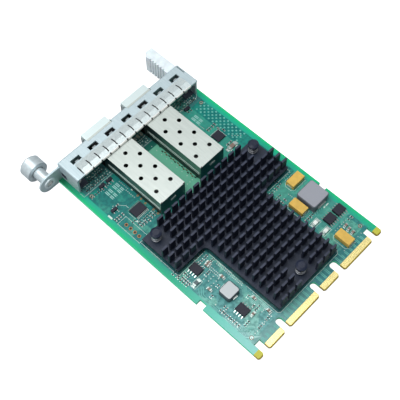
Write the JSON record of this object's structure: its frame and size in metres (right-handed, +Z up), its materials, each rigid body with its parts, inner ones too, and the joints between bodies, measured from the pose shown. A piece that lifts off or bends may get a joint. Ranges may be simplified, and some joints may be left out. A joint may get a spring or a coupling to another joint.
{
  "type": "network interface card",
  "caption": "Small-form-factor network interface card: edge-contact board, black pin-fin heat sink, pluggable-module cages, folded faceplate, captive thumbscrew and pull tab.",
  "frame": {"origin": "middle of the card edge, on the board's top face", "axes": "+X across the card to the pull-tab side, +Y along the card from the card edge to the faceplate, +Z up from the board's component side"},
  "size_m": [0.0853, 0.1326, 0.0141],
  "materials": {
    "solder_mask": "semi-gloss green solder mask on glass laminate",
    "gold_plate": "thin gold plating",
    "black_anodised": "black anodised, satin",
    "cage_plate": "tin-plated sheet, satin",
    "bracket_plate": "zinc-plated folded sheet",
    "spring_plate": "tin-plated spring sheet",
    "turned_metal": "turned, nickel-plated",
    "spring_steel": "bright drawn wire",
    "black_screw": "black-coated head",
    "bright_screw": "zinc-plated",
    "white_plastic": "moulded, fine matt",
    "black_plastic": "moulded, matt",
    "mould_compound": "moulded chip package, matt",
    "pad_grey": "soft thermal pad",
    "inductor_grey": "pressed ferrite powder, coated",
    "tantalum_yellow": "moulded, matt",
    "tin_lead": "tinned",
    "white_ceramic": "fired, matt",
    "brown_ceramic": "fired, matt",
    "dark_ceramic": "glazed element on ceramic",
    "clear_lens": "clear lens"
  },
  "bodies": {
    "card": {"circuit_board": "solder_mask", "edge_contacts_top": "gold_plate", "edge_contacts_bottom": "gold_plate", "heat_sink": "black_anodised", "controller_chip": "mould_compound", "thermal_pad": "pad_grey", "faceplate_bracket": "bracket_plate", "bracket_screws": "bright_screw", "spring_finger_strip": "spring_plate", "finger_clips": "spring_plate", "thumbscrew_ferrule": "turned_metal", "pull_tab": "white_plastic", "pull_tab_screws": "bright_screw", "back_capacitors": "brown_ceramic", "heat_sink_screws": "black_screw", "heat_sink_springs": "spring_steel", "heat_sink_nuts": "bright_screw", "large_inductor": "inductor_grey", "small_inductor": "inductor_grey", "inductor_terminals": "tin_lead", "tantalum_capacitors": "tantalum_yellow", "tantalum_leads": "tin_lead", "power_switches": "mould_compound", "flash_memory": "mould_compound", "power_monitor": "mould_compound", "port_expander": "mould_compound", "clock_chip": "mould_compound", "chip_leads": "tin_lead", "ceramic_blocks": "white_ceramic", "chip_capacitors": "brown_ceramic", "chip_resistors": "dark_ceramic", "small_transistors": "mould_compound", "transistor_leads": "tin_lead", "status_leds": "clear_lens", "port_cage_cover_left": "cage_plate", "port_cage_tray_left": "cage_plate", "port_socket_left": "black_plastic", "port_springs_left": "spring_plate", "port_cage_cover_right": "cage_plate", "port_cage_tray_right": "cage_plate", "port_socket_right": "black_plastic", "port_springs_right": "spring_plate"},
    "thumbscrew_slider": {"thumbscrew_spring": "spring_steel"},
    "thumbscrew": {"thumbscrew_shaft": "bright_screw", "thumbscrew_knob": "turned_metal"}
  },
  "joints": [
    {"name": "thumbscrew_slide", "type": "slide", "parent": "card", "child": "thumbscrew_slider", "axis": [0, 1, 0], "range_m": [-0.0046, 0], "stiffness_N_per_m": 300, "springref_m": 0.002, "deforming": ["thumbscrew_spring"]},
    {"name": "thumbscrew_turn", "type": "hinge", "parent": "thumbscrew_slider", "child": "thumbscrew", "pos_m": [-0.0422, 0.1154, 0.00275], "axis": [0, 1, 0], "continuous": true}
  ]
}
